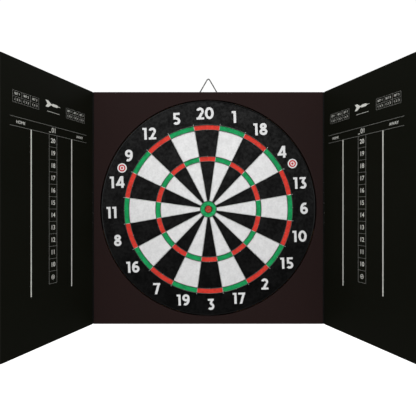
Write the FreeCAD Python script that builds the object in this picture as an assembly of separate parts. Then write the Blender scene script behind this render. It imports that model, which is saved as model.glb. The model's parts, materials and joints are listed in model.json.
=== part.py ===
import FreeCAD, Part
import math
import os

# Dart board cabinet: a shallow square case that hangs on a wall by a bent wire triangle, with a
# wound paper dart board let into its front and two scoreboard doors on full height hinges.
# Millimetres. X runs to the right as seen from the front, Z is up, and the front faces -Y.
# The origin is the centre of the back face, which lies against the wall at Y = 0.
# The doors are drawn closed and then turned to their rest position, standing open.

V = FreeCAD.Vector

# ---- Case ----
CASE_WIDTH = 461.0
CASE_HEIGHT = 467.0
BACK_THICK = 5.0
RAIL_DEPTH = 23.0
SIDE_RAIL_THICK = 12.0
CROSS_RAIL_THICK = 17.0
SURROUND_THICK = 4.0
SURROUND_CHAMFER = 0.3
CORNER_BLOCK_LEG = 80.0
HALF_WIDTH = CASE_WIDTH / 2
HALF_HEIGHT = CASE_HEIGHT / 2
RAIL_BACK_Y = -BACK_THICK
RAIL_FRONT_Y = RAIL_BACK_Y - RAIL_DEPTH
FRONT_Y = RAIL_FRONT_Y - SURROUND_THICK
RAIL_INNER_X = HALF_WIDTH - SIDE_RAIL_THICK
RAIL_INNER_Z = HALF_HEIGHT - CROSS_RAIL_THICK
RAIL_MID_X = HALF_WIDTH - SIDE_RAIL_THICK / 2
RAIL_MID_Z = HALF_HEIGHT - CROSS_RAIL_THICK / 2

# ---- Dart board ----
BOARD_RADIUS = 216.0
BOARD_GAP = 2.0
RIM_THICK = 2.0
RIM_PROUD = 1.0
RIM_ROUND = 0.7
CORE_THICK = 24.0
FLOCK_THICK = 1.0
BOARD_TURN_DEG = 1.1
SCORING_Z = -2.4
SECTORS = 20
SECTOR_DEG = 360.0 / SECTORS
DOUBLE_OUTER = 170.0
DOUBLE_INNER = 160.0
TRIPLE_OUTER = 106.5
TRIPLE_INNER = 96.5
BULL_RADIUS = 16.3
PLUG_RADIUS = 6.6
PLUG_RECESS = 0.8
CORE_RADIUS = BOARD_RADIUS - RIM_THICK
CORE_FRONT_Y = RAIL_BACK_Y - CORE_THICK
FLOCK_FRONT_Y = CORE_FRONT_Y - FLOCK_THICK
RIM_FRONT_Y = FLOCK_FRONT_Y - RIM_PROUD

# ---- Spider of wires on the board ----
WIRE_RADIUS = 0.6
WIRE_PLAY = 0.1
WIRE_TAIL = 3.0
BED_MARGIN = WIRE_RADIUS + WIRE_PLAY
BED_GAP = 0.2
RADIAL_START = BULL_RADIUS - WIRE_RADIUS
RADIAL_END = DOUBLE_OUTER + WIRE_TAIL
RADIAL_Y = CORE_FRONT_Y - WIRE_RADIUS
RING_Y = RADIAL_Y - 2 * WIRE_RADIUS
PLUG_RING_RADIUS = PLUG_RADIUS + WIRE_RADIUS
PLUG_RING_Y = FLOCK_FRONT_Y - WIRE_RADIUS
STAPLE_WIRE_RADIUS = 0.3
STAPLE_PLAY = 0.05
STAPLE_BEND = WIRE_RADIUS + STAPLE_WIRE_RADIUS + STAPLE_PLAY
STAPLE_LEG = 7.0

# ---- Doors ----
DOOR_GAP = 1.0
DOOR_CENTRE_GAP = 1.8
DOOR_THICK = 9.0
SHEET_THICK = 0.8
BAND_THICK = 0.8
FINGER_BEVEL = 2.5
DOOR_OPEN_DEG = 109.6
DOOR_INNER_Y = FRONT_Y - DOOR_GAP
DOOR_OUTER_Y = DOOR_INNER_Y - DOOR_THICK
DOOR_MID_Y = (DOOR_INNER_Y + DOOR_OUTER_Y) / 2
DOOR_FREE_X = DOOR_CENTRE_GAP / 2

# ---- Full height hinges ----
LEAF_THICK = 0.7
KNUCKLE_RADIUS = 1.3
KNUCKLE_GAP = 0.15
KNUCKLES = 23
PIN_RADIUS = 0.65
PIN_PLAY = 0.05
PIN_GRIP = 0.0
HINGE_LENGTH = 466.0
HINGE_CLEARANCE = 0.2
NECK_START = 0.5
LEAF_START = 1.15
FRAME_LEAF_WIDTH = 11.0
DOOR_LEAF_WIDTH = 9.0
HINGE_X = HALF_WIDTH + KNUCKLE_RADIUS + HINGE_CLEARANCE
HINGE_Y = FRONT_Y - DOOR_GAP / 2
KNUCKLE_PITCH = HINGE_LENGTH / KNUCKLES
FRAME_SCREW_Z = [-210, -150, -90, -30, 30, 90, 150, 210]
DOOR_SCREW_Z = [-200, -140, -80, -20, 20, 80, 140, 200]
FRAME_SCREW_Y = HINGE_Y + 7.5

# ---- Hanger ----
HANGER_WIRE_RADIUS = 1.3
HANGER_SIDE = 52.3
HANGER_BEND = 3.0
HANGER_BAR_Z = 226.0
HANGER_JOINT_GAP = 0.6
STRAP_THICK = 1.0
STRAP_WIDTH = 14.0
STRAP_PLAY = 0.08
STRAP_END_Z = 189.0
STRAP_CORNER = 4.0
STRAP_SCREW_Z = [207.0, 196.0]
STRAP_LOOP_RADIUS = HANGER_WIRE_RADIUS + STRAP_PLAY + STRAP_THICK
HANGER_BAR_Y = RAIL_BACK_Y + STRAP_LOOP_RADIUS
RECESS_HALF_WIDTH = 27.0
RECESS_BOTTOM_Z = 181.0
RECESS_CORNER = 3.0

# ---- Magnets ----
MAGNET_RADIUS = 4.0
MAGNET_THICK = 4.0
MAGNET_X = 14.0
POCKET_PLAY = 0.05

# ---- Screws: shank radius, head radius, head height, length under the outer face ----
# Slot reach is a share of the head radius, slot depth a share of the head height.
BACK_SCREW = (1.5, 3.0, 1.7, 17.0)
BOARD_SCREW = (2.0, 4.0, 2.2, 22.0)
CORNER_SCREW = (1.75, 3.4, 1.9, 32.0)
STRAP_SCREW = (1.5, 3.1, 1.9, 16.0)
HINGE_SCREW = (1.1, 2.1, 0.9, 9.0)
SCREW_PLAY = 0.05
SCREW_POINT = 2.0
CROSS_SLOT_WIDTH = 0.7
CROSS_SLOT_REACH = 1.2
CROSS_SLOT_DEPTH = 0.6
BACK_SCREW_SIDE_Z = [-150.0, 0.0, 150.0]
BACK_SCREW_END_X = [-110.0, 110.0]
BOARD_SCREW_RADIUS = 110.0
CORNER_SCREW_Y = -11.0
DOWEL_Y = -21.0
DOWEL_RADIUS = 3.0
DOWEL_IN_SIDE = 8.0
DOWEL_IN_END = 16.0

INWARD = V(0, -1, 0)
LEFT, RIGHT = -1, 1
SIDES = {"left": LEFT, "right": RIGHT}


# ---- Small shape helpers ----
def block(xs, ys, zs):
    """A box from three pairs of limits, given in either order."""
    low = [min(pair) for pair in (xs, ys, zs)]
    size = [abs(pair[1] - pair[0]) for pair in (xs, ys, zs)]
    return Part.makeBox(*size, V(*low))


def rod(radius, start, end):
    """A round bar between two points."""
    along = end - start
    return Part.makeCylinder(radius, along.Length, start, along)


def outward(length, degrees):
    """A step across the board, with 0 to the right and 90 up."""
    a = math.radians(degrees)
    return V(length * math.cos(a), 0, length * math.sin(a))


def on_board(radius, degrees, y):
    """A point at a polar position about the scoring centre."""
    return V(0, y, SCORING_Z) + outward(radius, degrees)


def prism(points, y_start, y_end):
    """A straight-sided solid: an outline of (x, z) points, pushed along Y."""
    corners = [V(x, y_start, z) for x, z in points]
    outline = Part.makePolygon(corners + corners[:1])
    return Part.Face(outline).extrude(V(0, y_end - y_start, 0))


def low_corners(plate, bottom_z):
    """The front-to-back edges at the bottom of a plate."""
    upright = [e for e in plate.Edges if abs(e.tangentAt(e.FirstParameter).y) > 0.99]
    return [e for e in upright if e.CenterOfMass.z < bottom_z + 1]


def bent_wire(path_edges, radius):
    """Round wire of the given radius that follows straight and curved edges, end to end."""
    path = Part.Wire(path_edges)
    first = path_edges[0]
    start = first.valueAt(first.FirstParameter)
    along = first.tangentAt(first.FirstParameter)
    section = Part.Wire(Part.makeCircle(radius, start, along))
    return path.makePipeShell([section], True, False)


def cut_all(shape, tools):
    """The shape less every tool."""
    return shape.cut(tuple(tools))


def screw_body(size, head_point, direction, countersunk, play=0.0):
    """Head and shank, without the point and the slots."""
    shank, head, head_height, length = size
    shank += play
    head += play
    if countersunk:
        top = Part.makeCone(head, shank, head_height, head_point, direction)
        return top.fuse(Part.makeCylinder(shank, length, head_point, direction))
    under = head_point + direction * head_height
    top = Part.makeCylinder(head, head_height, head_point, direction)
    return top.fuse(Part.makeCylinder(shank, length, under, direction))


def screw(size, head_point, direction, countersunk=True):
    """A wood screw with a cross slot and a point. head_point is the middle of its outer face."""
    shank, head, head_height, length = size
    body = screw_body(size, head_point, direction, countersunk)
    end = head_point + direction * (length if countersunk else length + head_height)
    point = Part.makeCone(shank, 0.0, SCREW_POINT, end, direction)
    reach = head * CROSS_SLOT_REACH
    across = direction.cross(V(0, 0, 1))
    if across.Length < 0.5:
        across = direction.cross(V(1, 0, 0))
    slots = []
    for turn in (45, 135):
        slot = Part.makeBox(reach, CROSS_SLOT_WIDTH, head_height * CROSS_SLOT_DEPTH)
        slot.translate(V(-reach / 2, -CROSS_SLOT_WIDTH / 2, 0))
        slot.rotate(V(0, 0, 0), V(0, 0, 1), turn)
        slot.Placement = FreeCAD.Placement(
            head_point, FreeCAD.Rotation(V(0, 0, 1), direction)
        ).multiply(slot.Placement)
        slots.append(slot)
    return cut_all(body.fuse(point), slots)


def screw_hole(size, head_point, direction, countersunk=True):
    """The hole a screw sits in, with a little play and room for its point."""
    shank, head, head_height, length = size
    longer = (shank, head, head_height, length + SCREW_POINT)
    return screw_body(longer, head_point, direction, countersunk, SCREW_PLAY)


def save(name, *solids):
    """Writes one node: a single solid, or several separate ones together."""
    shape = solids[0] if len(solids) == 1 else Part.makeCompound(list(solids))
    shape.exportStep("parts/" + name + ".step")
    problems = [i for i, s in enumerate(shape.Solids) if not s.isValid()]
    print(name, "solids", len(shape.Solids), "invalid", problems)


# ---- Where the fasteners go ----
def back_screw_heads():
    """Screws round the edge of the back board, into the rails."""
    sides = [V(s * RAIL_MID_X, 0, z) for s in (LEFT, RIGHT) for z in BACK_SCREW_SIDE_Z]
    ends = [V(x, 0, s * RAIL_MID_Z) for s in (-1, 1) for x in BACK_SCREW_END_X]
    return sides + ends


def board_screw_heads():
    """Four screws through the back board into the paper core."""
    return [on_board(BOARD_SCREW_RADIUS, a, 0) for a in (45, 135, 225, 315)]


def corner_points(x, y):
    """The same point at each of the four corners of the case, with its side."""
    return [(s, V(s * x, y, end * RAIL_MID_Z)) for s in (LEFT, RIGHT) for end in (-1, 1)]


def strap_screw_heads():
    """Two screws down the middle of the hanger strap, heads on its outer face."""
    top = RAIL_BACK_Y + STRAP_THICK + STRAP_SCREW[2]
    return [V(0, top, z) for z in STRAP_SCREW_Z]


def corner_screw_tools(maker):
    """The corner screws, or their holes: through a side rail into the end of a cross rail."""
    heads = corner_points(HALF_WIDTH, CORNER_SCREW_Y)
    return [maker(CORNER_SCREW, p, V(-side, 0, 0)) for side, p in heads]


def dowel_tools(play):
    """The corner dowels, or their holes."""
    tools = []
    for side, p in corner_points(RAIL_INNER_X, DOWEL_Y):
        start = p + V(side * (DOWEL_IN_SIDE + play), 0, 0)
        end = p - V(side * (DOWEL_IN_END + play), 0, 0)
        tools.append(rod(DOWEL_RADIUS + play, start, end))
    return tools


def case_magnet_tools(play):
    """Catch magnets in the front edges of the cross rails, or their pockets."""
    tools = []
    for x in (-MAGNET_X, MAGNET_X):
        for end in (-1, 1):
            p = V(x, RAIL_FRONT_Y, end * RAIL_MID_Z)
            tools.append(rod(MAGNET_RADIUS + play, p, p + V(0, MAGNET_THICK + play, 0)))
    return tools


def leaf_screws(side, y, heights, maker):
    """A row of hinge screws, or their holes, down one side of the closed cabinet."""
    head_x = side * (HALF_WIDTH + LEAF_THICK + HINGE_SCREW[2])
    heads = [V(head_x, y, z) for z in heights]
    return [maker(HINGE_SCREW, p, V(-side, 0, 0), countersunk=False) for p in heads]


def frame_leaf_screws(side, maker):
    """Through the frame leaf into the side rail."""
    return leaf_screws(side, FRAME_SCREW_Y, FRAME_SCREW_Z, maker)


def door_leaf_screws(side, maker):
    """Through the door leaf into the edge of the door."""
    return leaf_screws(side, DOOR_MID_Y, DOOR_SCREW_Z, maker)


# ---- Case ----
def make_case():
    back_holes = [screw_hole(BACK_SCREW, p, INWARD) for p in back_screw_heads()]
    board_holes = [screw_hole(BOARD_SCREW, p, INWARD) for p in board_screw_heads()]
    corner_holes = corner_screw_tools(screw_hole)
    dowel_holes = dowel_tools(POCKET_PLAY)

    back = block((-HALF_WIDTH, HALF_WIDTH), (RAIL_BACK_Y, 0), (-HALF_HEIGHT, HALF_HEIGHT))
    save("back_board", cut_all(back, [hanger_recess()] + back_holes + board_holes))

    rail_ys = (RAIL_BACK_Y, RAIL_FRONT_Y)
    for name, end in (("bottom_rail", -1), ("top_rail", 1)):
        rail = block((-RAIL_INNER_X, RAIL_INNER_X), rail_ys, (end * RAIL_INNER_Z, end * HALF_HEIGHT))
        pockets = case_magnet_tools(POCKET_PLAY)
        save(name, cut_all(rail, back_holes + corner_holes + dowel_holes + pockets))
    for name, side in SIDES.items():
        rail = block((side * RAIL_INNER_X, side * HALF_WIDTH), rail_ys, (-HALF_HEIGHT, HALF_HEIGHT))
        hinge_holes = frame_leaf_screws(side, screw_hole)
        save(name + "_rail", cut_all(rail, back_holes + corner_holes + dowel_holes + hinge_holes))

    save("front_surround", front_surround())
    save("corner_blocks", *corner_blocks())
    save("corner_dowels", *dowel_tools(0.0))
    save("corner_screws", *corner_screw_tools(screw))
    save("back_board_screws", *[screw(BACK_SCREW, p, INWARD) for p in back_screw_heads()])
    save("case_magnets", *case_magnet_tools(0.0))


def hanger_recess():
    """The notch in the top of the back board where the hanger sits and folds away."""
    room = block(
        (-RECESS_HALF_WIDTH, RECESS_HALF_WIDTH),
        (RAIL_BACK_Y - 1, 1),
        (RECESS_BOTTOM_Z, HALF_HEIGHT + RECESS_CORNER + 1),
    )
    return room.makeFillet(RECESS_CORNER, low_corners(room, RECESS_BOTTOM_Z))


def front_surround():
    """The flat panel round the board, glued to the front edges of the rails."""
    panel = block((-HALF_WIDTH, HALF_WIDTH), (RAIL_FRONT_Y, FRONT_Y), (-HALF_HEIGHT, HALF_HEIGHT))
    front = [e for e in panel.Edges if abs(e.CenterOfMass.y - FRONT_Y) < 0.01]
    panel = panel.makeChamfer(SURROUND_CHAMFER, front)
    opening = BOARD_RADIUS + BOARD_GAP
    panel = panel.cut(rod(opening, V(0, RAIL_FRONT_Y + 1, 0), V(0, FRONT_Y - 1, 0)))
    ease = Part.makeCone(
        opening, opening + 2 * SURROUND_CHAMFER, 2 * SURROUND_CHAMFER,
        V(0, FRONT_Y + SURROUND_CHAMFER, 0), INWARD,
    )
    return panel.cut(ease)


def corner_blocks():
    """Wooden triangles that stiffen the corners and carry the surround."""
    blocks = []
    for sx in (LEFT, RIGHT):
        for sz in (-1, 1):
            x, z = sx * RAIL_INNER_X, sz * RAIL_INNER_Z
            outline = [(x, z), (x - sx * CORNER_BLOCK_LEG, z), (x, z - sz * CORNER_BLOCK_LEG)]
            blocks.append(prism(outline, RAIL_BACK_Y, RAIL_FRONT_Y))
    return blocks


# ---- Dart board ----
def boundary_deg(index):
    """The angle of the wire between bed index - 1 and bed index; bed 0 is the top one."""
    return 90.0 + BOARD_TURN_DEG - (index - 0.5) * SECTOR_DEG


def bed(index, inner, outer):
    """One coloured bed: a sector kept clear of the radial wires on both sides."""
    def beside(wire_deg, sign, radius):
        along = math.sqrt(radius ** 2 - BED_MARGIN ** 2)
        shift = math.degrees(math.atan2(BED_MARGIN, along))
        return on_board(radius, wire_deg + sign * shift, CORE_FRONT_Y)

    high, low = boundary_deg(index), boundary_deg(index + 1)
    middle = (high + low) / 2
    a, b = beside(high, -1, inner), beside(high, -1, outer)
    c, d = beside(low, 1, outer), beside(low, 1, inner)
    edges = [
        Part.makeLine(a, b),
        Part.Arc(b, on_board(outer, middle, CORE_FRONT_Y), c).toShape(),
        Part.makeLine(c, d),
        Part.Arc(d, on_board(inner, middle, CORE_FRONT_Y), a).toShape(),
    ]
    return Part.Face(Part.Wire(edges)).extrude(V(0, -FLOCK_THICK, 0))


def flat_ring(inner, outer, y_start, y_end, inner_z=SCORING_Z, outer_z=SCORING_Z):
    """A ring or disc about the scoring centre, unless an edge is given another height."""
    ring = rod(outer, V(0, y_start, outer_z), V(0, y_end, outer_z))
    if inner > 0:
        ring = ring.cut(rod(inner, V(0, y_start + 1, inner_z), V(0, y_end - 1, inner_z)))
    return ring


def radial_wire(index, radius=WIRE_RADIUS, end=RADIAL_END):
    """A straight wire along the line between two beds."""
    a = boundary_deg(index)
    return rod(radius, on_board(RADIAL_START, a, RADIAL_Y), on_board(end, a, RADIAL_Y))


def ring_wire(radius, y=RING_Y):
    """A wire bent into a closed ring."""
    return Part.makeTorus(radius, WIRE_RADIUS, V(0, y, SCORING_Z), V(0, 1, 0))


def bed_middle_deg(index):
    return boundary_deg(index) - SECTOR_DEG / 2


def stapled_rings(index):
    """The radii of the ring wires that are stapled down in the middle of a bed."""
    return (DOUBLE_OUTER, TRIPLE_INNER) if index % 2 else (DOUBLE_INNER, TRIPLE_OUTER)


def staple_holes(index):
    """Holes for the legs of the staples in one sector of the board."""
    degrees = bed_middle_deg(index)
    holes = []
    for ring in stapled_rings(index):
        for radius in (ring - STAPLE_BEND, ring + STAPLE_BEND):
            start = on_board(radius, degrees, RING_Y)
            depth = V(0, STAPLE_LEG + STAPLE_PLAY, 0)
            holes.append(rod(STAPLE_WIRE_RADIUS + STAPLE_PLAY, start, start + depth))
    return holes


def staple(ring_radius, degrees):
    """A staple that straddles a ring wire, its two legs driven into the core."""
    mid = on_board(ring_radius, degrees, RING_Y)
    out = outward(STAPLE_BEND, degrees)
    down = V(0, STAPLE_LEG, 0)
    edges = [
        Part.makeLine(mid - out + down, mid - out),
        Part.Arc(mid - out, mid + V(0, -STAPLE_BEND, 0), mid + out).toShape(),
        Part.makeLine(mid + out, mid + out + down),
    ]
    return bent_wire(edges, STAPLE_WIRE_RADIUS)


def make_board():
    board_holes = [screw_hole(BOARD_SCREW, p, INWARD) for p in board_screw_heads()]
    strap_holes = [screw_hole(STRAP_SCREW, p, INWARD, False) for p in strap_screw_heads()]
    leg_holes = [staple_holes(i) for i in range(SECTORS)]
    all_leg_holes = [hole for holes in leg_holes for hole in holes]
    core = flat_ring(PLUG_RADIUS, CORE_RADIUS, RAIL_BACK_Y, CORE_FRONT_Y, outer_z=0)
    save("paper_core", cut_all(core, board_holes + strap_holes + all_leg_holes))
    save("bull_plug", flat_ring(0, PLUG_RADIUS, RAIL_BACK_Y, FLOCK_FRONT_Y + PLUG_RECESS))

    band = flat_ring(CORE_RADIUS, BOARD_RADIUS, RAIL_BACK_Y, RIM_FRONT_Y, inner_z=0, outer_z=0)
    front = [e for e in band.Edges if abs(e.CenterOfMass.y - RIM_FRONT_Y) < 0.01 and e.Closed]
    save("rim_band", band.makeFillet(RIM_ROUND, front))

    even, odd = range(0, SECTORS, 2), range(1, SECTORS, 2)
    gap = BED_GAP / 2
    singles = [(BULL_RADIUS, TRIPLE_INNER - gap), (TRIPLE_OUTER + gap, DOUBLE_INNER - gap)]
    scoring = [(TRIPLE_INNER + gap, TRIPLE_OUTER - gap), (DOUBLE_INNER + gap, DOUBLE_OUTER - gap)]
    for name, beds, spans in (
        ("black_beds", even, singles),
        ("white_beds", odd, singles),
        ("red_beds", even, scoring),
        ("green_beds", odd, scoring),
    ):
        save(name, *[cut_all(bed(i, r0, r1), leg_holes[i]) for i in beds for r0, r1 in spans])
    bull_outer = RADIAL_START - gap
    save("bull_ring_bed", flat_ring(PLUG_RADIUS, bull_outer, CORE_FRONT_Y, FLOCK_FRONT_Y))
    field = flat_ring(DOUBLE_OUTER, CORE_RADIUS, CORE_FRONT_Y, FLOCK_FRONT_Y, outer_z=0)
    grooves = [radial_wire(i, BED_MARGIN, RADIAL_END + BED_MARGIN) for i in range(SECTORS)]
    save("number_field", cut_all(field, grooves + all_leg_holes))

    save("double_outer_wire", ring_wire(DOUBLE_OUTER))
    save("double_inner_wire", ring_wire(DOUBLE_INNER))
    save("triple_outer_wire", ring_wire(TRIPLE_OUTER))
    save("triple_inner_wire", ring_wire(TRIPLE_INNER))
    save("bull_outer_wire", ring_wire(BULL_RADIUS))
    save("bull_inner_wire", ring_wire(PLUG_RING_RADIUS, PLUG_RING_Y))
    save("radial_wires", *[radial_wire(i) for i in range(SECTORS)])
    staples = [staple(r, bed_middle_deg(i)) for i in range(SECTORS) for r in stapled_rings(i)]
    save("wire_staples", *staples)
    save("board_screws", *[screw(BOARD_SCREW, p, INWARD) for p in board_screw_heads()])


# ---- Hinges ----
def knuckle_spans(first):
    """Every second stretch of the hinge, starting with the first or the second."""
    bottom = -HINGE_LENGTH / 2
    for i in range(first, KNUCKLES, 2):
        low = bottom + i * KNUCKLE_PITCH + KNUCKLE_GAP / 2
        yield low, low + KNUCKLE_PITCH - KNUCKLE_GAP


def hinge_rod(side, radius, low, high):
    """A round bar along the axis of a hinge."""
    return rod(radius, V(side * HINGE_X, HINGE_Y, low), V(side * HINGE_X, HINGE_Y, high))


def hinge_leaf(side, first, width, play, towards_back):
    """A flat leaf on the side of the case or door, rolled into knuckles round the pin."""
    half = HINGE_LENGTH / 2 - KNUCKLE_GAP

    def from_axis(x_reach, y_near, y_far, zs):
        """A block beside the axis: out from the case side, and back or forward from the axis."""
        sign = 1 if towards_back else -1
        xs = (side * HALF_WIDTH, side * (HALF_WIDTH + x_reach))
        return block(xs, (HINGE_Y + sign * y_near, HINGE_Y + sign * y_far), zs)

    rolled = []
    for low, high in knuckle_spans(first):
        zs = max(low, -half), min(high, half)
        rolled.append(hinge_rod(side, KNUCKLE_RADIUS, *zs))
        rolled.append(from_axis(LEAF_THICK + HINGE_CLEARANCE, NECK_START, LEAF_START, zs))
    leaf = from_axis(LEAF_THICK, LEAF_START, width, (-half, half)).fuse(rolled)
    bore = hinge_rod(side, PIN_RADIUS + play, -half - 1, half + 1)
    return leaf.cut(bore).removeSplitter()


def make_frame_hinge(name, side):
    leaf = hinge_leaf(side, 0, FRAME_LEAF_WIDTH, PIN_GRIP, towards_back=True)
    save(name + "_hinge_frame_leaf", cut_all(leaf, frame_leaf_screws(side, screw_hole)))
    save(name + "_hinge_pin", hinge_rod(side, PIN_RADIUS, -HINGE_LENGTH / 2, HINGE_LENGTH / 2))
    save(name + "_hinge_frame_screws", *frame_leaf_screws(side, screw))


# ---- Doors ----
def turned_open(shape, side):
    """A door piece, drawn closed, turned about its hinge to where it rests."""
    shape = shape.copy()
    shape.rotate(V(side * HINGE_X, HINGE_Y, 0), V(0, 0, 1), side * DOOR_OPEN_DEG)
    return shape


def finger_bevel(side):
    """What the slope along the outer free edge of a closed door takes away."""
    x = side * DOOR_FREE_X
    corners = [
        V(x, DOOR_OUTER_Y, 0),
        V(x + side * FINGER_BEVEL, DOOR_OUTER_Y, 0),
        V(x, DOOR_OUTER_Y + FINGER_BEVEL, 0),
    ]
    face = Part.Face(Part.makePolygon(corners + corners[:1]))
    face.translate(V(0, 0, -HALF_HEIGHT - 1))
    return face.extrude(V(0, 0, CASE_HEIGHT + 2))


def make_door(name, side):
    free, hinge = side * DOOR_FREE_X, side * HALF_WIDTH
    whole_z = (-HALF_HEIGHT, HALF_HEIGHT)
    inner_sheet_ys = (DOOR_INNER_Y, DOOR_INNER_Y - SHEET_THICK)
    outer_sheet_ys = (DOOR_OUTER_Y, DOOR_OUTER_Y + SHEET_THICK)
    middle_ys = (inner_sheet_ys[1], outer_sheet_ys[1])
    core_xs = (free + side * BAND_THICK, hinge - side * BAND_THICK)
    core_z = HALF_HEIGHT - BAND_THICK
    bevel = finger_bevel(side)
    screw_holes = door_leaf_screws(side, screw_hole)

    magnets, pockets = [], []
    for z in (-RAIL_MID_Z, RAIL_MID_Z):
        p = V(side * MAGNET_X, middle_ys[0], z)
        magnets.append(rod(MAGNET_RADIUS, p, p - V(0, MAGNET_THICK, 0)))
        pockets.append(rod(MAGNET_RADIUS + POCKET_PLAY, p, p - V(0, MAGNET_THICK + POCKET_PLAY, 0)))

    core = block(core_xs, middle_ys, (-core_z, core_z))
    bands = [
        block((free, core_xs[0]), middle_ys, whole_z).cut(bevel),
        cut_all(block((core_xs[1], hinge), middle_ys, whole_z), screw_holes),
        block(core_xs, middle_ys, (core_z, HALF_HEIGHT)).cut(bevel),
        block(core_xs, middle_ys, (-HALF_HEIGHT, -core_z)).cut(bevel),
    ]
    leaf = hinge_leaf(side, 1, DOOR_LEAF_WIDTH, PIN_PLAY, towards_back=False)
    pieces = {
        "door_core": [cut_all(core, pockets + screw_holes + [bevel])],
        "door_scoreboard": [block((free, hinge), inner_sheet_ys, whole_z)],
        "door_outer_sheet": [block((free, hinge), outer_sheet_ys, whole_z).cut(bevel)],
        "door_edge_bands": bands,
        "door_magnets": magnets,
        "hinge_door_leaf": [cut_all(leaf, screw_holes)],
        "hinge_door_screws": door_leaf_screws(side, screw),
    }
    for piece, solids in pieces.items():
        save(name + "_" + piece, *[turned_open(s, side) for s in solids])


# ---- Hanger ----
def hanger_wire():
    """An equal-sided triangle of wire; its ends meet in the bar, inside the strap's loop."""
    height = HANGER_SIDE * math.sqrt(3) / 2
    half = HANGER_SIDE / 2
    corners = [V(half, 0, 0), V(0, 0, height), V(-half, 0, 0)]
    ends = [V(HANGER_JOINT_GAP / 2, 0, 0), V(-HANGER_JOINT_GAP / 2, 0, 0)]
    trim = HANGER_BEND / math.tan(math.radians(30))
    stops = [ends[0]] + corners + [ends[1]]
    edges = []
    at = ends[0]
    for before, corner, after in zip(stops, stops[1:], stops[2:]):
        into = (corner - before).normalize()
        out = (after - corner).normalize()
        arc_start, arc_end = corner - into * trim, corner + out * trim
        inward = (out - into).normalize()
        middle = corner + inward * (HANGER_BEND / math.sin(math.radians(30)) - HANGER_BEND)
        edges.append(Part.makeLine(at, arc_start))
        edges.append(Part.Arc(arc_start, middle, arc_end).toShape())
        at = arc_end
    edges.append(Part.makeLine(at, ends[1]))
    wire = bent_wire(edges, HANGER_WIRE_RADIUS)
    wire.translate(V(0, HANGER_BAR_Y, HANGER_BAR_Z))
    return wire


def hanger_strap():
    """A metal strip rolled round the hanger's bar and screwed to the back of the board."""
    half = STRAP_WIDTH / 2
    plate_ys = (RAIL_BACK_Y, RAIL_BACK_Y + STRAP_THICK)
    plate = block((-half, half), plate_ys, (STRAP_END_Z, HANGER_BAR_Z))
    plate = plate.makeFillet(STRAP_CORNER, low_corners(plate, STRAP_END_Z))
    start, end = V(-half, HANGER_BAR_Y, HANGER_BAR_Z), V(half, HANGER_BAR_Y, HANGER_BAR_Z)
    loop = rod(STRAP_LOOP_RADIUS, start, end)
    bore = rod(HANGER_WIRE_RADIUS + STRAP_PLAY, start - V(1, 0, 0), end + V(1, 0, 0))
    strap = plate.fuse(loop).cut(bore)
    holes = [screw_hole(STRAP_SCREW, p, INWARD, False) for p in strap_screw_heads()]
    return cut_all(strap, holes)


def make_hanger():
    save("hanger_wire", hanger_wire())
    save("hanger_strap", hanger_strap())
    screws = [screw(STRAP_SCREW, p, INWARD, False) for p in strap_screw_heads()]
    save("hanger_strap_screws", *screws)


def main():
    os.makedirs("parts", exist_ok=True)
    make_case()
    make_board()
    make_hanger()
    for name, side in SIDES.items():
        make_frame_hinge(name, side)
        make_door(name, side)


main()
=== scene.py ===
import json
import math

import bmesh
import bpy
from mathutils import Matrix, Vector


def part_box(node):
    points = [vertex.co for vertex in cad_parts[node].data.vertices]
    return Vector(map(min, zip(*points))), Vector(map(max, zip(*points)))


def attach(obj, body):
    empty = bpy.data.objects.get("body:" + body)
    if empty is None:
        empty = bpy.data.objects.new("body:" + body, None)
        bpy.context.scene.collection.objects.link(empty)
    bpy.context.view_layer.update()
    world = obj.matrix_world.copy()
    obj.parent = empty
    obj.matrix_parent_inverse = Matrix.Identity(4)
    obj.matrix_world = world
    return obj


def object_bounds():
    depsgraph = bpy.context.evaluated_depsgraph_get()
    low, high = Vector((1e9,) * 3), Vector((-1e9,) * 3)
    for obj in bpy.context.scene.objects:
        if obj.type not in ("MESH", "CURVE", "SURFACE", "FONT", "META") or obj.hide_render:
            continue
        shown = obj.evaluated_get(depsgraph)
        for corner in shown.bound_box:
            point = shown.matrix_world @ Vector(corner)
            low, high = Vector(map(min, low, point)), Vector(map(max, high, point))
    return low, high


# The looks of the dart board cabinet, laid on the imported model. Metres, unless a comment says mm.
# X runs to the right as seen from the front, Z is up, and the front faces -Y.

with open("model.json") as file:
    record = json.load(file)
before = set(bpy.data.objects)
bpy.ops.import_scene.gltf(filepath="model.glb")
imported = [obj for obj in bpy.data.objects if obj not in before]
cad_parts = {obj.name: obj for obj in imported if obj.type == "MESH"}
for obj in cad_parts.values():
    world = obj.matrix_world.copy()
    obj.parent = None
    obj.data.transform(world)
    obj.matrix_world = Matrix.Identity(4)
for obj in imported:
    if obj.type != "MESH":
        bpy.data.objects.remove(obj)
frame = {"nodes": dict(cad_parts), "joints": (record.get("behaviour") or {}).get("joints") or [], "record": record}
cad_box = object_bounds()

MM = 0.001

# ---- Camera ----
CAMERA_OFFSET = Vector((-0.8 * MM, -842.5 * MM, 0))
CAMERA_LENS = 36.216
CAMERA_SENSOR = 36.0

# ---- Board print ----
SECTOR_DEG = 18.0
BOARD_NUMBERS = [20, 1, 18, 4, 13, 6, 10, 15, 2, 17, 3, 19, 7, 16, 8, 11, 14, 9, 12, 5]
NUMERAL_RADIUS = 192.0 * MM
NUMERAL_TURN_DEG = 1.5
NUMERAL_LEAN_DEG = 2.2
NUMERAL_HEIGHT = 23.2 * MM
# How much taller the top numeral is, and the bottom one shorter.
NUMERAL_GROWTH = 0.95 * MM
NUMERAL_GAP = 1.8 * MM
GAP_AFTER_ONE = 3.6 * MM
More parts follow.
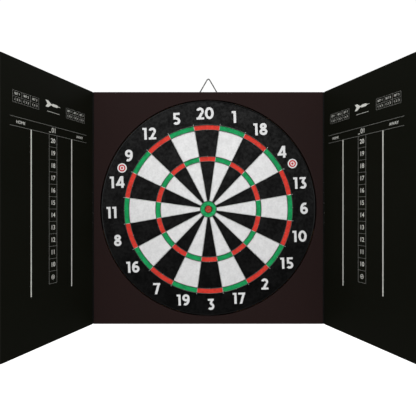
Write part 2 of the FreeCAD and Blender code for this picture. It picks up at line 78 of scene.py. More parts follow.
# Numerals that stand off their even place: degrees anticlockwise round the ring, mm outwards.
NUMERAL_NUDGE = {
    20: (0.5, 1.5), 1: (1, 1), 18: (1.5, 0.5), 4: (0.5, -4), 13: (-3.5, 0), 6: (-1, 1),
    2: (-0.5, -3), 17: (-0.5, -2), 19: (1, -2), 7: (1.5, -1), 8: (-0.5, 1.5),
    11: (0.5, 3.5), 9: (0.5, 1.5), 12: (0.5, 1.5), 5: (0, 1.5),
}
# Width of a numeral's strokes, as a share of its height.
STROKE = 0.21
RING_STEPS = 40
INK_THICK = 0.12 * MM
ROUNDEL_RADIUS = 9.5 * MM
ROUNDEL_OUTWARDS = 1.0 * MM
# The roundels stand halfway between two numbers: this bed and the one before it.
ROUNDEL_BEDS = (4, 17)
# Each disc: name, share of the radius, layers of ink under its top, paint, slot.
ROUNDEL_DISCS = (
    ("outer", 1.0, 1, "numeral_ink", "bed_white"),
    ("middle", 0.74, 2, "roundel_red", "bed_red"),
    ("inner", 0.46, 3, "numeral_ink", "bed_white"),
    ("spot", 0.24, 4, "roundel_red", "bed_red"),
)

# ---- Scoreboard print on a door: distances from its reading left and top edges, in mm ----
SCORE_SHIFT = {"left": -0.4, "right": -3.6}
SCORE_DROP = 0.5
SET_TABLES = ((23.2, 79.4), (149.6, 203.6))
SET_ROWS = (50.0, 59.1, 68.4)
SET_LINE = 0.24
SET_TICK = 0.168
SET_NAME_CAP = 3.6
SET_LEG_CAP = 3.4
BADGE_CENTRE = (115.2, 53.5)
BADGE_BAR = (99.5, 131.0, 66.0, 66.6)
HEADER_LINES = (90.6, 105.2)
HEADER_SPAN = (17.5, 210.0)
HEADER_LINE = 0.36
HEADER_TEXT_V = 98.3
HOME_CENTRE = 39.8
AWAY_CENTRE = 188.8
HEADER_CAP = 4.9
GAME_UNDERLINE = (104.5, 109.5, 101.5)
GAME_LINE = 0.9
GAME_CENTRE = 116.6
GAME_RAISE = 0.6
GAME_CAP = 8.8
LADDER_SPAN = (104.6, 124.2)
LADDER_TOP = 105.2
LADDER_CELL = 21.6
LADDER_NUMBERS = range(20, 9, -1)
LADDER_CAP = 8.2
LADDER_BOLD = 0.1
LADDER_LINE = 0.32
TARGET_RING_RADIUS = 3.6
TARGET_RING_WIDTH = 0.8
TARGET_SPOT_RADIUS = 1.4
COLUMN_LINES = (62.2, 165.0)
COLUMN_SPAN = (105.5, 378.5)
COLUMN_LINE = 2.15
# Height of a capital letter as a share of Blender's text size.
CAP_PER_SIZE = 0.729

# ---- Studio ----
FLOOR_DROP = 0.45
FLOOR_SIZE = 4.0
FLOOR_GLOW = 0.6
BACKDROP_GLOW = 1.05
ROOM_GLOW = 0.32
# Name: (place, diameter, watts). Each lamp points at the origin.
LAMPS = {
    "key": ((-0.1, -1.6, 1.55), 1.1, 31),
    "fill_left": ((-1.1, -1.9, 0.1), 1.4, 10),
    "fill_right": ((1.1, -1.9, 0.1), 1.4, 10),
    "back": ((0.3, 2.2, 1.6), 1.8, 24),
}

SIDES = {"left": -1, "right": 1}

# Nodes whose finish differs from the rest of their material slot.
NODE_PAINTS = {
    "left_rail": "case_wood_upright",
    "right_rail": "case_wood_upright",
    "bull_ring_bed": "bull_green",
    # Painted shade: the bull wire's steel is darkened to brown-black to stand in for the shaded ring round the
    # bull.
    "bull_inner_wire": "bull_wire_shaded",
    # Painted shade: the ring wires get a darker copy of the wire steel, standing in for the thin shadow lines
    # beside them.
    "double_outer_wire": "ring_wire_shaded",
    "double_inner_wire": "ring_wire_shaded",
    "triple_outer_wire": "ring_wire_shaded",
    "triple_inner_wire": "ring_wire_shaded",
    "bull_outer_wire": "ring_wire_shaded",
}


# ---- Material helpers ----
class Paint:
    """A node material with a principled shader and short calls to add nodes to it."""

    def __init__(self, name):
        self.material = bpy.data.materials.new(name)
        self.material.use_nodes = True
        self.tree = self.material.node_tree
        self.shader = self.tree.nodes["Principled BSDF"]
        self.place = self.tree.nodes.new("ShaderNodeTexCoord").outputs["Object"]

    def set(self, **values):
        for name, value in values.items():
            self.shader.inputs[name.replace("_", " ")].default_value = value
        return self

    def join(self, output, socket):
        self.tree.links.new(output, socket)

    def feed(self, socket, value):
        if isinstance(value, bpy.types.NodeSocket):
            self.join(value, socket)
        else:
            socket.default_value = value

    def scaled(self, scale):
        mapping = self.tree.nodes.new("ShaderNodeMapping")
        mapping.inputs["Scale"].default_value = scale
        self.join(self.place, mapping.inputs["Vector"])
        return mapping.outputs["Vector"]

    def noise(self, scale, detail=3.0, rough=0.55, place=None):
        node = self.tree.nodes.new("ShaderNodeTexNoise")
        self.join(place or self.place, node.inputs["Vector"])
        node.inputs["Scale"].default_value = scale
        node.inputs["Detail"].default_value = detail
        node.inputs["Roughness"].default_value = rough
        return node.outputs["Fac"]

    def wave(self, kind, scale, distort, detail, place=None):
        node = self.tree.nodes.new("ShaderNodeTexWave")
        node.wave_type = kind
        node.bands_direction = "DIAGONAL"
        self.join(place or self.place, node.inputs["Vector"])
        node.inputs["Scale"].default_value = scale
        node.inputs["Distortion"].default_value = distort
        node.inputs["Detail"].default_value = detail
        return node.outputs["Fac"]

    def axes(self):
        split = self.tree.nodes.new("ShaderNodeSeparateXYZ")
        self.join(self.place, split.inputs[0])
        return split.outputs

    def math(self, kind, a, b=0.0):
        node = self.tree.nodes.new("ShaderNodeMath")
        node.operation = kind
        for socket, value in zip(node.inputs, (a, b)):
            self.feed(socket, value)
        return node.outputs[0]

    def ramp(self, value, low, high, start=0.0, end=1.0):
        """Spreads the part of value between low and high over start to end."""
        node = self.tree.nodes.new("ShaderNodeMapRange")
        node.interpolation_type = "SMOOTHSTEP"
        for socket, number in zip(node.inputs, (value, low, high, start, end)):
            self.feed(socket, number)
        return node.outputs[0]

    def blend(self, factor, a, b):
        node = self.tree.nodes.new("ShaderNodeMix")
        node.data_type = "RGBA"
        self.feed(node.inputs[0], factor)
        self.feed(node.inputs[6], a)
        self.feed(node.inputs[7], b)
        return node.outputs[2]

    def tinted(self, colour, factor):
        """A colour made lighter or darker by a factor that varies over the surface."""
        node = self.tree.nodes.new("ShaderNodeVectorMath")
        node.operation = "SCALE"
        self.feed(node.inputs[0], colour if isinstance(colour, bpy.types.NodeSocket) else colour[:3])
        self.feed(node.inputs["Scale"], factor)
        return node.outputs[0]

    def colour(self, value):
        self.feed(self.shader.inputs["Base Color"], value)
        return self

    def rough(self, value):
        self.feed(self.shader.inputs["Roughness"], value)
        return self

    def bump(self, *layers):
        """Stacks bumps, each a height from 0 to 1 with its real depth in metres."""
        normal = None
        for height, depth in layers:
            node = self.tree.nodes.new("ShaderNodeBump")
            node.inputs["Strength"].default_value = 1.0
            node.inputs["Distance"].default_value = depth
            self.join(height, node.inputs["Height"])
            if normal:
                self.join(normal, node.inputs["Normal"])
            normal = node.outputs["Normal"]
        self.join(normal, self.shader.inputs["Normal"])
        return self


def srgb(red, green, blue):
    """A colour read off a screen, 0 to 255, as the shader wants it."""
    def linear(v):
        v /= 255
        return v / 12.92 if v <= 0.04045 else ((v + 0.055) / 1.055) ** 2.4
    return (linear(red), linear(green), linear(blue), 1.0)


def shade(colour, factor):
    return tuple(min(1.0, c * factor) for c in colour[:3]) + (1.0,)


# ---- Materials ----
def flock_paint(name, colour, vary, grain=280.0, gloss=0.12, painted_shade_foot=None):
    """Flocked paper: cloudy tone, brushed tufts and pin-prick grain. The foot colour is painted shade:
    the tone darkens towards the bottom of the board, as if the light fell from above."""
    p = Paint(name).set(Specular_IOR_Level=gloss)
    # Painted shade: the colour darkens towards the bottom of the board, as if lit from above.
    if painted_shade_foot:
        colour = p.blend(p.ramp(p.axes()["Z"], -0.23, 0.2), painted_shade_foot, colour)
    clouds = p.noise(grain / 4, 3.0, 0.6)
    tufts = p.noise(grain, 3.0, 0.65)
    fibres = p.noise(1500.0, 2.0, 0.7)
    tone = p.ramp(clouds, 0.36, 0.64, 1 - 0.4 * vary, 1 + vary)
    tone = p.math("MULTIPLY", tone, p.ramp(tufts, 0.36, 0.6, 1 - vary, 1.0))
    tone = p.math("MULTIPLY", tone, p.ramp(fibres, 0.3, 0.6, 1 - 0.6 * vary, 1.0))
    p.colour(p.tinted(colour, tone))
    p.rough(p.ramp(fibres, 0.2, 0.8, 0.5, 0.7))
    return p.bump((fibres, 0.25 * MM), (tufts, 0.3 * MM)).material


def laminate_paint(name, colour, light, grain_depth, rough):
    """Smooth board with a satin film over it, with faint pressed grain and handling marks."""
    p = Paint(name).set(Specular_IOR_Level=0.05)
    pores = p.noise(900.0, 2.0, 0.6)
    marks = p.noise(9.0, 4.0, 0.6)
    p.colour(p.blend(p.ramp(marks, 0.35, 0.75), colour, shade(colour, light)))
    p.rough(p.ramp(marks, 0.3, 0.7, rough - 0.06, rough + 0.08))
    return p.bump((pores, grain_depth)).material


def wood_paint(name, dark, light, along, rough):
    """Straight-grained softwood. along scales the place so that the grain runs one way."""
    p = Paint(name).set(Specular_IOR_Level=0.1)
    stretched = p.scaled(along)
    rings = p.wave("BANDS", 3.0, 5.0, 3.0, stretched)
    fibres = p.noise(9.0, 4.0, 0.65, stretched)
    mix = p.math("ADD", p.math("MULTIPLY", rings, 0.55), p.math("MULTIPLY", fibres, 0.45))
    p.colour(p.blend(p.ramp(mix, 0.3, 0.75), dark, light))
    p.rough(p.ramp(fibres, 0.3, 0.7, rough, rough + 0.15))
    return p.bump((fibres, 0.12 * MM)).material


def hardboard_paint(name, dark, light):
    """Pressed wood fibre: a felted brown surface with darker flecks."""
    p = Paint(name).set(Specular_IOR_Level=0.2)
    felt = p.noise(420.0, 4.0, 0.7)
    flecks = p.noise(110.0, 5.0, 0.75)
    stains = p.noise(6.0, 3.0, 0.5)
    mix = p.math("ADD", p.math("MULTIPLY", felt, 0.5), p.math("MULTIPLY", flecks, 0.5))
    tone = p.blend(p.ramp(mix, 0.36, 0.62), dark, light)
    p.colour(p.blend(p.ramp(stains, 0.45, 0.8, 0.0, 0.35), tone, shade(dark, 0.8)))
    p.rough(p.ramp(felt, 0.3, 0.7, 0.6, 0.85))
    return p.bump((felt, 0.1 * MM)).material


def coil_paint(name, dark, light):
    """The edge of a wound paper strip: fine rings with soft, fuzzy lines between them."""
    p = Paint(name).set(Specular_IOR_Level=0.1)
    rings = p.wave("RINGS", 260.0, 0.6, 1.0)
    fuzz = p.noise(800.0, 3.0, 0.7)
    p.colour(p.blend(p.ramp(rings, 0.2, 0.8), dark, light))
    p.rough(p.ramp(fuzz, 0.3, 0.7, 0.85, 1.0))
    return p.bump((fuzz, 0.15 * MM)).material


def metal_paint(name, colour, rough, wear):
    """Plain metal, finely grained, with slightly duller patches."""
    p = Paint(name).set(Metallic=1.0)
    patches = p.noise(160.0, 3.0, 0.6)
    fine = p.noise(2400.0, 2.0, 0.5)
    p.colour(p.blend(p.ramp(patches, 0.35, 0.7), colour, shade(colour, 1 - wear)))
    p.rough(p.ramp(patches, 0.3, 0.7, rough, rough + 0.14))
    return p.bump((fine, 0.015 * MM)).material


def coated_paint(name, colour, rough):
    """Thin black coating on steel, with a fine orange-peel surface."""
    p = Paint(name).set(Specular_IOR_Level=0.12)
    peel = p.noise(1100.0, 2.0, 0.5)
    patches = p.noise(60.0, 3.0, 0.6)
    p.colour(p.blend(p.ramp(patches, 0.4, 0.75), colour, shade(colour, 1.6)))
    p.rough(p.ramp(peel, 0.3, 0.7, rough - 0.05, rough + 0.1))
    return p.bump((peel, 0.03 * MM)).material


def rim_paint(name, body, highlight_colour, inner_radius):
    """Black band with a paler line painted on its front corner at its two sides: a painted highlight, as if a lamp
    at the upper left caught the rounded corner.
    """
    p = Paint(name).set(Specular_IOR_Level=0.08)
    x, _, z = p.axes()
    radius = p.math("SQRT", p.math("ADD", p.math("MULTIPLY", x, x), p.math("MULTIPLY", z, z)))
    rub_and_highlight_noise = p.noise(35.0, 4.0, 0.65)
    inside = p.ramp(radius, inner_radius, inner_radius + 0.2 * MM)
    outside = p.ramp(radius, inner_radius + 0.7 * MM, inner_radius + 1.0 * MM, 1.0, 0.0)
    # The painted highlight is strongest at the upper left, where the light falls, and fainter at the far right.
    upper_left = p.ramp(p.math("SUBTRACT", p.math("MULTIPLY", z, 0.5), x), 0.1, 0.22)
    right = p.ramp(x, 0.198, 0.213, 0.0, 0.6)
    sides = p.math("MAXIMUM", upper_left, right)
    # line masks the painted highlight along the front corner; the noise breaks it up and also varies the
    # roughness.
    line = p.math("MULTIPLY", p.math("MULTIPLY", inside, outside), sides)
    p.colour(p.blend(p.math("MULTIPLY", line, p.ramp(rub_and_highlight_noise, 0.3, 0.7, 0.6, 1.0)), body, highlight_colour))
    p.rough(p.ramp(rub_and_highlight_noise, 0.3, 0.7, 0.4, 0.6))
    return p.bump((p.noise(700.0), 0.05 * MM)).material


def ink_paint(name, colour, patchy):
    """Screen printed ink, a little thin in places."""
    p = Paint(name).set(Specular_IOR_Level=0.15)
    cover = p.noise(600.0, 3.0, 0.7)
    p.colour(p.blend(p.ramp(cover, 0.3, 0.6), shade(colour, 1 - patchy), colour))
    p.rough(p.ramp(cover, 0.3, 0.7, 0.55, 0.75))
    return p.bump((cover, 0.04 * MM)).material


def make_paints():
    along_x, along_z = (6, 60, 60), (60, 60, 6)
    return {
        "case_panel": laminate_paint("case_panel", srgb(34, 23, 22), 1.1, 0.03 * MM, 0.75),
        "case_wood": wood_paint("case_wood", srgb(24, 19, 18), srgb(40, 31, 29), along_x, 0.55),
        "case_wood_upright": wood_paint(
            "case_wood_upright", srgb(24, 19, 18), srgb(40, 31, 29), along_z, 0.55
        ),
        "back_panel": hardboard_paint("back_panel", srgb(86, 60, 40), srgb(140, 104, 72)),
        "inner_wood": wood_paint("inner_wood", srgb(150, 110, 70), srgb(205, 168, 120), along_x, 0.6),
        "paper_coil": coil_paint("paper_coil", srgb(60, 50, 40), srgb(120, 104, 84)),
        # The rim's paler colour is a painted highlight on its front corner.
        "rim": rim_paint("rim", srgb(9, 9, 9), srgb(62, 64, 64), 214.0 * MM),
        # The black and white beds carry painted shade: a darker foot colour towards the bottom of the board.
        "bed_black": flock_paint(
            "bed_black", srgb(30, 30, 30), 0.5, 170.0, 0.03, painted_shade_foot=srgb(11, 11, 11)
        ),
        "bed_white": flock_paint(
            "bed_white", srgb(221, 221, 221), 0.06, gloss=0.1, painted_shade_foot=srgb(213, 213, 213)
        ),
        "bed_red": flock_paint("bed_red", srgb(207, 57, 46), 0.14, gloss=0.08),
        "bed_green": flock_paint("bed_green", srgb(28, 146, 84), 0.16, gloss=0.04),
        "bull_green": flock_paint("bull_green", srgb(34, 156, 90), 0.3, 420.0, 0.06),
        "bull_red": flock_paint("bull_red", srgb(190, 76, 58), 0.5, 420.0, 0.06),
        "wire": metal_paint("wire", srgb(198, 200, 198), 0.38, 0.25),
        # Darker copy of the wire steel: painted shade for the shadow lines along the ring wires.
        "ring_wire_shaded": metal_paint("ring_wire_shaded", srgb(96, 98, 95), 0.45, 0.4),
        # Darkened wire steel: painted shade for the dark ring round the bull.
        "bull_wire_shaded": metal_paint("bull_wire_shaded", srgb(60, 50, 42), 0.5, 0.4),
        "screw_steel": metal_paint("screw_steel", srgb(178, 180, 182), 0.3, 0.3),
        "magnet": metal_paint("magnet", srgb(190, 190, 188), 0.22, 0.15),
        "hinge_metal": coated_paint("hinge_metal", srgb(7, 7, 6), 0.65),
        "hinge_pin": metal_paint("hinge_pin", srgb(150, 150, 150), 0.3, 0.2),
        "hanger_steel": metal_paint("hanger_steel", srgb(118, 118, 116), 0.38, 0.25),
        "door_core": hardboard_paint("door_core", srgb(30, 27, 24), srgb(46, 41, 36)),
        "door_face": laminate_paint("door_face", srgb(16, 17, 11), 1.12, 0.04 * MM, 0.6),
        "door_band": laminate_paint("door_band", srgb(16, 17, 14), 1.5, 0.05 * MM, 0.45),
        "numeral_ink": ink_paint("numeral_ink", srgb(216, 216, 216), 0.07),
        "score_ink": ink_paint("score_ink", srgb(230, 230, 223), 0.08),
        "score_grey": ink_paint("score_grey", srgb(162, 162, 157), 0.1),
        "roundel_red": ink_paint("roundel_red", srgb(190, 40, 45), 0.1),
    }


# ---- Mesh helpers ----
def new_piece(name, mesh, paint, body):
    piece = bpy.data.objects.new(name, mesh)
    bpy.context.collection.objects.link(piece)
    mesh.materials.clear()
    mesh.materials.append(paint)
    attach(piece, body)
    return piece


def prism_into(bm, points, thick):
    """Adds a flat outline of (x, y) points to bm as a plate from z = 0 up to thick."""
    low = [bm.verts.new((x, y, 0)) for x, y in points]
    high = [bm.verts.new((x, y, thick)) for x, y in points]
    bm.faces.new(high)
    bm.faces.new(low[::-1])
    for i in range(len(points)):
        j = (i + 1) % len(points)
        bm.faces.new((low[i], low[j], high[j], high[i]))


def rectangle(x0, y0, x1, y1):
    return [(x0, y0), (x1, y0), (x1, y1), (x0, y1)]


def disc_into(bm, radius, thick, steps=48):
    """Adds a round plate about the origin."""
    angles = [2 * math.pi * i / steps for i in range(steps)]
    prism_into(bm, [(radius * math.cos(a), radius * math.sin(a)) for a in angles], thick)


def ring_into(bm, cx, cy, rx, ry, width, start, end, thick):
    """Adds part of an elliptical stroke, given its middle line, as a plate."""
    closed = abs(end - start) >= 360
    count = RING_STEPS if closed else RING_STEPS + 1
    quads = []
    for i in range(count):
        a = math.radians(start + (end - start) * i / RING_STEPS)
        c, s = math.cos(a), math.sin(a)
        half = width / 2
        inner = (cx + (rx - half) * c, cy + (ry - half) * s)
        outer = (cx + (rx + half) * c, cy + (ry + half) * s)
        quads.append([bm.verts.new((*p, z)) for p in (inner, outer) for z in (0, thick)])
    last = count if closed else count - 1
    for i in range(last):
        a, b = quads[i], quads[(i + 1) % count]
        bm.faces.new((a[1], a[3], b[3], b[1]))
        bm.faces.new((a[0], b[0], b[2], a[2]))
        bm.faces.new((a[3], a[2], b[2], b[3]))
        bm.faces.new((a[1], b[1], b[0], a[0]))
    if not closed:
        for ends in (quads[0], quads[-1]):
            bm.faces.new((ends[0], ends[2], ends[3], ends[1]))


def finish_mesh(bm, name):
    bmesh.ops.recalc_face_normals(bm, faces=bm.faces)
    mesh = bpy.data.meshes.new(name)
    bm.to_mesh(mesh)
    bm.free()
    return mesh


# ---- Digits: a plain bold face built from straight and round strokes, one unit high ----
def stroke(bm, x0, y0, x1, y1, thick):
    """A straight stroke with flat ends that are cut level, top and bottom."""
    slope = math.hypot(x1 - x0, y1 - y0) / abs(y1 - y0)
    half = STROKE / 2 * slope
    outline = [(x0 - half, y0), (x0 + half, y0), (x1 + half, y1), (x1 - half, y1)]
    prism_into(bm, outline if y1 > y0 else outline[::-1], thick)


def bar(bm, x0, y0, x1, y1, thick):
    prism_into(bm, rectangle(x0, y0, x1, y1), thick)


def digit_parts(digit):
    """Width, strokes, and whether the digit is drawn upside down. Each stroke is a function
    that adds itself to a bmesh."""
    half = STROKE / 2
    flat = STROKE * 0.84
    top = 1 - flat

    def ring(*args):
        return lambda bm, thick: ring_into(bm, *args, thick)

    def line(*args):
        return lambda bm, thick: stroke(bm, *args, thick)

    def box(*args):
        return lambda bm, thick: bar(bm, *args, thick)

    shapes = {
        0: (0.735, [ring(0.367, 0.5, 0.367 - half, 0.5 - half, STROKE, 0, 360)]),
        1: (0.35, [box(0, top, 0.35, 1), box(0.35 - STROKE, 0, 0.35, 1)]),
        2: (0.635, [
            ring(0.315, 0.70, 0.31 - half, 0.30 - half, STROKE, -38, 165),
            line(0.03 + STROKE * 0.62, 0.02, 0.475, 0.575),
            box(0, 0, 0.635, flat),
        ]),
        3: (0.62, [
            box(0.05, top, 0.58, 1),
            line(0.29, 0.53, 0.455, 0.99),
            ring(0.295, 0.31, 0.325 - half, 0.32 - half, STROKE, -140, 100),
        ]),
        4: (0.745, [
            line(0.11, 0.25, 0.53, 1.0),
            box(0, 0.19, 0.745, 0.19 + flat),
            box(0.455, 0, 0.455 + STROKE, 1.0),
        ]),
        5: (0.64, [
            box(0.11, top, 0.60, 1),
            box(0.08, 0.45, 0.08 + STROKE * 0.92, 1),
            box(0.09, 0.45, 0.32, 0.45 + flat),
            ring(0.31, 0.31, 0.33 - half, 0.315 - half, STROKE, -142, 96),
        ]),
        6: (0.655, [
            ring(0.328, 0.325, 0.328 - half, 0.325 - half, STROKE, 0, 360),
            ring(0.41, 0.48, 0.41 - half, 0.52 - half, STROKE, 68, 195),
        ]),
        7: (0.63, [box(0, top, 0.63, 1), line(0.22, 0, 0.505, 0.93)]),
        8: (0.655, [
            ring(0.328, 0.28, 0.328 - half, 0.285 - half, STROKE, 0, 360),
            ring(0.328, 0.74, 0.288 - half, 0.262 - half, STROKE, 0, 360),
        ]),
    }
    upside_down = digit == 9
    return (*shapes[6 if upside_down else digit], upside_down)


def fused(plates, name):
    """Joins overlapping plates, each a bmesh, into one clean plate."""
    objects = []
    for bm in plates:
        plate = bpy.data.objects.new(name, finish_mesh(bm, name))
        bpy.context.collection.objects.link(plate)
        objects.append(plate)
    first = objects[0]
    for other in objects[1:]:
        union = first.modifiers.new("union", "BOOLEAN")
        union.operation = "UNION"
        union.solver = "EXACT"
        union.object = other
    shapes = bpy.context.evaluated_depsgraph_get()
    shapes.update()
    mesh = bpy.data.meshes.new_from_object(first.evaluated_get(shapes))
    for plate in objects:
        bpy.data.objects.remove(plate)
    return mesh


def digit_mesh(digit):
    width, strokes, upside_down = digit_parts(digit)
    plates = []
    for add in strokes:
        bm = bmesh.new()
        add(bm, 1.0)
        plates.append(bm)
    mesh = fused(plates, f"digit_{digit}")
    if upside_down:
        mesh.transform(Matrix.Translation((width, 1, 0)) @ Matrix.Rotation(math.pi, 4, "Z"))
    return mesh, width


def number_mesh(number, digits, height, name):
    """The digits of a number side by side, centred on the origin, at their real size."""
    bm = bmesh.new()
    x = 0.0
    for c in str(number):
        mesh, width = digits[int(c)]
        part = mesh.copy()
        part.transform(Matrix.Translation((x, -0.5, 0)))
        bm.from_mesh(part)
        bpy.data.meshes.remove(part)
        end = x + width
        x = end + (GAP_AFTER_ONE if c == "1" else NUMERAL_GAP) / NUMERAL_HEIGHT
    bmesh.ops.translate(bm, vec=(-end / 2, 0, 0), verts=bm.verts)
    bmesh.ops.scale(bm, vec=(height, height, INK_THICK), verts=bm.verts)
    return finish_mesh(bm, name)


def facing_front(x, y, z):
    """Takes a plate drawn in XY to the front of the board, reading towards +X and up Z."""
    return Matrix(((1, 0, 0, x), (0, 0, -1, y), (0, 1, 0, z), (0, 0, 0, 1)))


def on_board(sectors_clockwise, turn_deg=0.0, outwards=0.0):
    """A place in (x, z) on the number ring, counted clockwise from the top bed."""
    low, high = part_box("double_outer_wire")
    centre = (low + high) / 2
    a = math.radians(90 + NUMERAL_TURN_DEG + turn_deg - sectors_clockwise * SECTOR_DEG)
    radius = NUMERAL_RADIUS + outwards
    return centre.x + radius * math.cos(a), centre.z + radius * math.sin(a)


def make_numerals(paints):
    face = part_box("number_field")[0].y
    digits = {d: digit_mesh(d) for d in range(10)}
    lean = Matrix.Rotation(math.radians(NUMERAL_LEAN_DEG), 4, "Z")
    for i, number in enumerate(BOARD_NUMBERS):
        turn_deg, outwards = NUMERAL_NUDGE.get(number, (0, 0))
        x, z = on_board(i, turn_deg, outwards * MM)
        height = NUMERAL_HEIGHT + NUMERAL_GROWTH * z / NUMERAL_RADIUS
        mesh = number_mesh(number, digits, height, f"numeral_{number}")
        mesh.transform(facing_front(x, face, z) @ lean)
        new_piece(mesh.name, mesh, paints["numeral_ink"], "casing")


def make_roundels(paints):
    """A plain target mark in two of the gaps between the numbers."""
    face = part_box("number_field")[0].y
    for bed in ROUNDEL_BEDS:
        x, z = on_board(bed - 0.5, outwards=ROUNDEL_OUTWARDS)
        place = facing_front(x, face, z)
        for name, share, layers, paint, slot in ROUNDEL_DISCS:
            bm = bmesh.new()
            disc_into(bm, share * ROUNDEL_RADIUS, layers * INK_THICK / 2)
            mesh = finish_mesh(bm, f"roundel_{name}_{bed}")
            mesh.transform(place)
            new_piece(mesh.name, mesh, paints[paint], "casing")


# ---- Scoreboard print on the doors ----
class Sheet:
    """The inner face of a door. u runs along its reading direction and v down, in millimetres."""

    def __init__(self, side_name):
        self.side = SIDES[side_name]
        self.body = side_name + "_door"
        hinge = next(j for j in frame["joints"] if j["child"] == self.body)
        axis = Vector(hinge["pos_m"])
        open_angle = -self.side * math.radians(hinge["range_deg"][0])
        turn = Matrix.Rotation(open_angle, 4, "Z")
        self.opened = Matrix.Translation(axis) @ turn @ Matrix.Translation(-axis)
        node = frame["nodes"][self.body + "_scoreboard"]
        closed = [self.opened.inverted() @ v.co for v in node.data.vertices]
        self.face_y = max(p.y for p in closed)
        self.start_x = max(p.x for p in closed)
        self.top_z = max(p.z for p in closed)
        self.shift = SCORE_SHIFT[side_name]

    def place(self, u, v):
        """The matrix for a plate drawn in XY about the point (u, v)."""
        x = self.start_x - (u + self.shift) * MM
        z = self.top_z - (v + SCORE_DROP) * MM
        facing = Matrix(((-1, 0, 0, x), (0, 0, 1, self.face_y), (0, 1, 0, z), (0, 0, 0, 1)))
        return self.opened @ facing


def rectangles_mesh(name, boxes):
    """Ink rectangles given as (u0, u1, v0, v1), drawn about (0, 0) with v downwards."""
    bm = bmesh.new()
    for u0, u1, v0, v1 in boxes:
        prism_into(bm, rectangle(u0 * MM, -v1 * MM, u1 * MM, -v0 * MM), INK_THICK)
    return finish_mesh(bm, name)


def words_mesh(name, words, cap, bold):
    """Letters in the plain built-in face, centred, with capitals cap millimetres high."""
    text = bpy.data.curves.new(name, "FONT")
    text.body = words
    text.size = cap * MM / CAP_PER_SIZE
    text.align_x = "CENTER"
    text.align_y = "CENTER"
    text.extrude = INK_THICK / 2
    text.offset = bold * MM
    text.resolution_u = 4
    holder = bpy.data.objects.new(name, text)
    bpy.context.collection.objects.link(holder)
    shapes = bpy.context.evaluated_depsgraph_get()
    shapes.update()
    mesh = bpy.data.meshes.new_from_object(holder.evaluated_get(shapes))
    bpy.data.objects.remove(holder)
    mesh.name = name
    mesh.transform(Matrix.Translation((0, 0, INK_THICK / 2)))
    return mesh


def horizontal(u0, u1, v, thick):
    return (u0, u1, v - thick / 2, v + thick / 2)


def vertical(u, v0, v1, thick):
    return (u - thick / 2, u + thick / 2, v0, v1)


def set_table_boxes(u0, u1):
    """The outline and dividing lines of one small table of sets."""
    top, middle, bottom = SET_ROWS
    lines = [horizontal(u0, u1, v, SET_LINE) for v in (top, middle, bottom)]
    for i in range(4):
        lines.append(vertical(u0 + (u1 - u0) * i / 3, top, bottom, SET_LINE))
    third = (u1 - u0) / 3
    for i in range(3):
        for j in (1, 2):
            u = u0 + third * (i + j / 3)
            lines.append(vertical(u, middle, bottom, SET_TICK))
    return lines


def fine_lines():
    """The thin grey lines: set tables, header and ladder."""
    lines = []
    for u0, u1 in SET_TABLES:
        lines += set_table_boxes(u0, u1)
    lines += [horizontal(*HEADER_SPAN, v, HEADER_LINE) for v in HEADER_LINES]
    bottom = LADDER_TOP + LADDER_CELL * (len(LADDER_NUMBERS) + 1)
    lines += [vertical(u, LADDER_TOP, bottom, LADDER_LINE) for u in LADDER_SPAN]
    for i in range(1, len(LADDER_NUMBERS) + 2):
        lines.append(horizontal(*LADDER_SPAN, LADDER_TOP + i * LADDER_CELL, LADDER_LINE))
    return lines


def bold_lines():
    """The two score columns and the short bars."""
    columns = [vertical(u, *COLUMN_SPAN, COLUMN_LINE) for u in COLUMN_LINES]
    return columns + [horizontal(*GAME_UNDERLINE, GAME_LINE), BADGE_BAR]


def badge_mesh(name):
    """A plain dart, point to the right, above the bar at the top of the sheet."""
    outline = [
        (-19.5, 5.8), (-13.0, 5.8), (-6.0, 1.3), (-3.0, 1.1), (-2.0, 2.4), (9.5, 2.4),
        (11.5, 0.7), (19.5, 0.0), (11.5, -0.7), (9.5, -2.4), (-2.0, -2.4), (-3.0, -1.1),
        (-6.0, -1.3), (-13.0, -5.8), (-19.5, -5.8), (-15.0, 0.0),
    ]
    bm = bmesh.new()
    prism_into(bm, [(x * MM, y * MM) for x, y in outline], INK_THICK)
    return finish_mesh(bm, name)


def target_mesh(name):
    """A ring and a spot, for the last step of the ladder."""
    bm = bmesh.new()
    radius = TARGET_RING_RADIUS * MM
    ring_into(bm, 0, 0, radius, radius, TARGET_RING_WIDTH * MM, 0, 360, INK_THICK)
    disc_into(bm, TARGET_SPOT_RADIUS * MM, INK_THICK, 24)
    return finish_mesh(bm, name)


def header_words():
    """The words above the columns: (name, letters, cap height, bold, u, v)."""
    return [
        ("home", "HOME", HEADER_CAP, 0.0, HOME_CENTRE, HEADER_TEXT_V),
        ("away", "AWAY", HEADER_CAP, 0.0, AWAY_CENTRE, HEADER_TEXT_V),
        ("game", "01", GAME_CAP, 0.0, GAME_CENTRE, HEADER_TEXT_V - GAME_RAISE),
    ]


def ladder_place(step):
    """The middle of a cell of the ladder, counted from the top."""
    return sum(LADDER_SPAN) / 2, LADDER_TOP + (step + 0.5) * LADDER_CELL


def ladder_words():
    """The numbers down the ladder."""
    return [
        (str(number), str(number), LADDER_CAP, LADDER_BOLD, *ladder_place(step))
        for step, number in enumerate(LADDER_NUMBERS)
    ]


def set_table_words():
    """The name and the three legs of each set, in both tables."""
    top, middle, bottom = SET_ROWS
    words = []
    for table, (u0, u1) in enumerate(SET_TABLES, 1):
        for i in range(3):
            name = f"set_{table}_{i + 1}"
            u = u0 + (u1 - u0) * (i + 0.5) / 3
            words.append((name, f"SET {i + 1}", SET_NAME_CAP, 0.0, u, (top + middle) / 2))
            words.append((name + "_legs", "1  2  3", SET_LEG_CAP, 0.0, u, (middle + bottom) / 2))
    return words


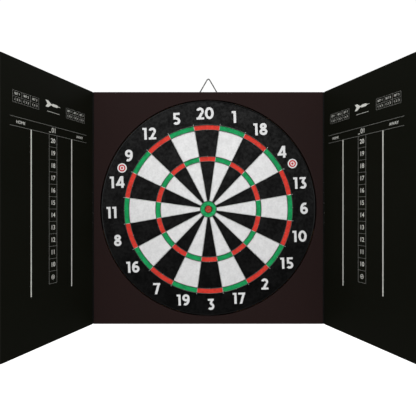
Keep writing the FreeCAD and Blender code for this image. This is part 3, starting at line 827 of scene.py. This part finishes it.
def make_scoreboard(side_name, paints):
    sheet = Sheet(side_name)
    prefix = side_name + "_score_"

    def add(mesh, u=0.0, v=0.0, ink="score_ink"):
        mesh.transform(sheet.place(u, v))
        new_piece(mesh.name, mesh, paints[ink], sheet.body)

    def write(words):
        for name, letters, cap, bold, u, v in words:
            add(words_mesh(prefix + name, letters, cap, bold), u, v)

    add(rectangles_mesh(prefix + "fine_lines", fine_lines()), ink="score_grey")
    add(rectangles_mesh(prefix + "bold_lines", bold_lines()))
    add(badge_mesh(prefix + "dart_mark"), *BADGE_CENTRE)
    write(header_words() + ladder_words())
    add(target_mesh(prefix + "bull"), *ladder_place(len(LADDER_NUMBERS)))
    write(set_table_words())


# ---- Finishes on the CAD nodes ----
def give_finishes(paints):
    slots = {s["node"]: s["material_slot"] for s in frame["record"]["subparts"]}
    for name, node in frame["nodes"].items():
        paint = NODE_PAINTS.get(name, slots[name])
        for slot in node.material_slots:
            slot.material = paints[paint]


# ---- Studio ----
def make_floor():
    """A pale floor well below the object, which hangs above it."""
    bm = bmesh.new()
    bmesh.ops.create_grid(bm, x_segments=8, y_segments=8, size=FLOOR_SIZE)
    mesh = finish_mesh(bm, "floor")
    floor = bpy.data.objects.new("floor", mesh)
    bpy.context.collection.objects.link(floor)
    floor.location.z = cad_box[0].z - FLOOR_DROP
    mesh.materials.append(floor_paint())
    floor.visible_diffuse = False
    floor.visible_glossy = False


def floor_paint():
    """White paper with a faint cloudiness, and enough glow to stay pale in every view."""
    p = Paint("floor").set(Roughness=0.9, Specular_IOR_Level=0.1)
    p.set(Emission_Color=(1, 1, 1, 1), Emission_Strength=FLOOR_GLOW)
    cloud = p.noise(1.5, 2.0)
    return p.colour(p.blend(cloud, (0.9, 0.9, 0.9, 1), (0.93, 0.93, 0.93, 1))).material


def area_light(name, place, size, power):
    """A round soft lamp that points at the origin."""
    data = bpy.data.lights.new(name, "AREA")
    data.shape = "DISK"
    data.size = size
    data.energy = power
    lamp = bpy.data.objects.new(name, data)
    bpy.context.collection.objects.link(lamp)
    lamp.location = place
    lamp.rotation_euler = (-Vector(place)).to_track_quat("-Z", "Y").to_euler()
    lamp.visible_camera = False


def make_world():
    """A white backdrop for the camera, and a dimmer room for everything else."""
    world = bpy.data.worlds.new("studio")
    world.use_nodes = True
    bpy.context.scene.world = world
    nodes, links = world.node_tree.nodes, world.node_tree.links
    room = nodes["Background"]
    backdrop = nodes.new("ShaderNodeBackground")
    for node, strength in ((room, ROOM_GLOW), (backdrop, BACKDROP_GLOW)):
        node.inputs["Color"].default_value = (1, 1, 1, 1)
        node.inputs["Strength"].default_value = strength
    path = nodes.new("ShaderNodeLightPath")
    mix = nodes.new("ShaderNodeMixShader")
    links.new(path.outputs["Is Camera Ray"], mix.inputs[0])
    links.new(room.outputs[0], mix.inputs[1])
    links.new(backdrop.outputs[0], mix.inputs[2])
    links.new(mix.outputs[0], nodes["World Output"].inputs["Surface"])


def make_lights():
    for name, (place, size, power) in LAMPS.items():
        area_light(name, place, size, power)


def make_camera():
    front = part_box("front_surround")[0].y
    data = bpy.data.cameras.new("camera")
    data.lens = CAMERA_LENS
    data.sensor_width = CAMERA_SENSOR
    data.clip_start = 0.01
    data.clip_end = 50
    camera = bpy.data.objects.new("camera", data)
    bpy.context.collection.objects.link(camera)
    camera.location = Vector((0, front, 0)) + CAMERA_OFFSET
    camera.rotation_euler = (math.radians(90), 0, 0)
    bpy.context.scene.camera = camera


def main():
    bpy.context.scene.view_settings.view_transform = "Standard"
    make_camera()
    make_world()
    make_lights()
    make_floor()
    paints = make_paints()
    give_finishes(paints)
    make_numerals(paints)
    make_roundels(paints)
    for side_name in SIDES:
        make_scoreboard(side_name, paints)


main()
